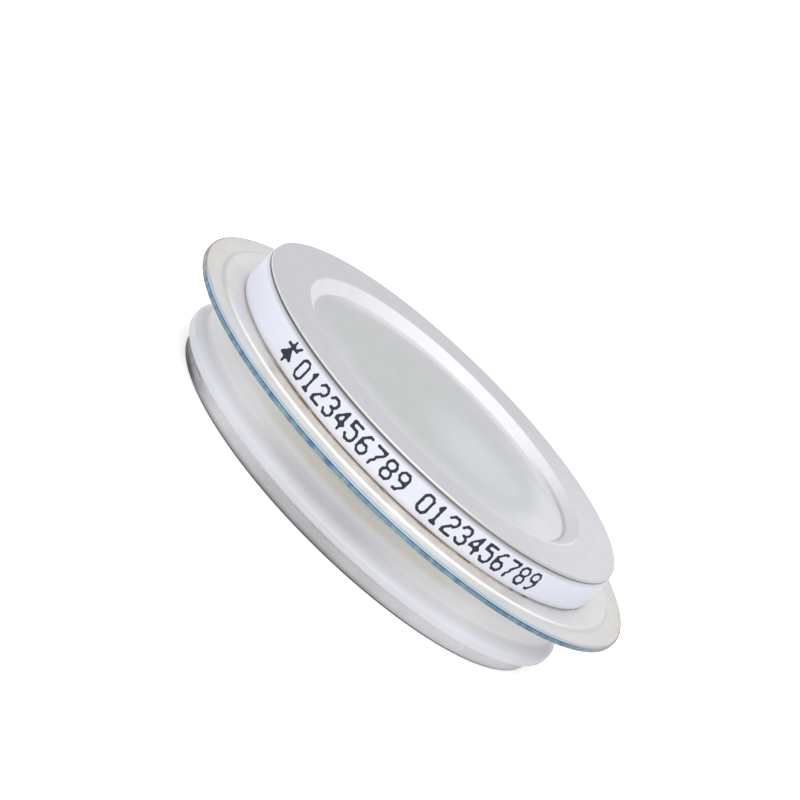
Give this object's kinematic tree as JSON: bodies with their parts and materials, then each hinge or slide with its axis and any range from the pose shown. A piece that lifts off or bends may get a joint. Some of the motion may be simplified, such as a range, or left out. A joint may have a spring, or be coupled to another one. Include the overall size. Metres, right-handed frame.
{
  "type": "disc thyristor",
  "caption": "Press-pack disc thyristor: a capsule of white ceramic rings with a welded rim flange, recessed contact faces on both sides and a sealed wafer stack with a sprung gate contact.",
  "frame": {"origin": "centre of the capsule at the plane of the anode base's rim", "axes": "+Z along the capsule's axis from the anode base to the cathode lid, +Y along the gate tube"},
  "size_m": [0.089, 0.089, 0.02],
  "materials": {
    "lid_nickel": "satin nickel plate",
    "flange_nickel": "matt nickel plate, warm tint",
    "base_nickel": "turned nickel plate",
    "white_ceramic": "matt",
    "glazed_ceramic": "satin glaze",
    "braze": "tarnished",
    "silver": "soft satin",
    "molybdenum": "lapped",
    "silicon": "polished",
    "silicone": "soft",
    "copper": "turned",
    "natural_plastic": "waxy",
    "spring_steel": "bright",
    "marking_ink": "dry ink"
  },
  "bodies": {
    "root": {"cathode_pan": "lid_nickel", "cathode_braze_ring": "braze", "upper_ceramic_ring": "white_ceramic", "upper_ceramic_braze_ring": "braze", "upper_weld_flange": "flange_nickel", "lower_weld_flange": "flange_nickel", "lower_ceramic_braze_ring": "braze", "lower_ceramic_ring": "glazed_ceramic", "anode_braze_ring": "braze", "anode_base": "base_nickel", "anode_silver_foil": "silver", "anode_molybdenum_disc": "molybdenum", "silicon_wafer": "silicon", "wafer_edge_seal": "silicone", "cathode_molybdenum_disc": "molybdenum", "cathode_silver_shim": "silver", "cathode_pole": "copper", "wafer_locating_ring": "natural_plastic", "gate_insulator_cup": "natural_plastic", "gate_contact": "silver", "gate_disc_springs": "spring_steel", "gate_lead_wire": "copper", "gate_lead_sleeve": "natural_plastic", "gate_tube": "flange_nickel", "gate_terminal_pin": "lid_nickel"}
  },
  "joints": []
}
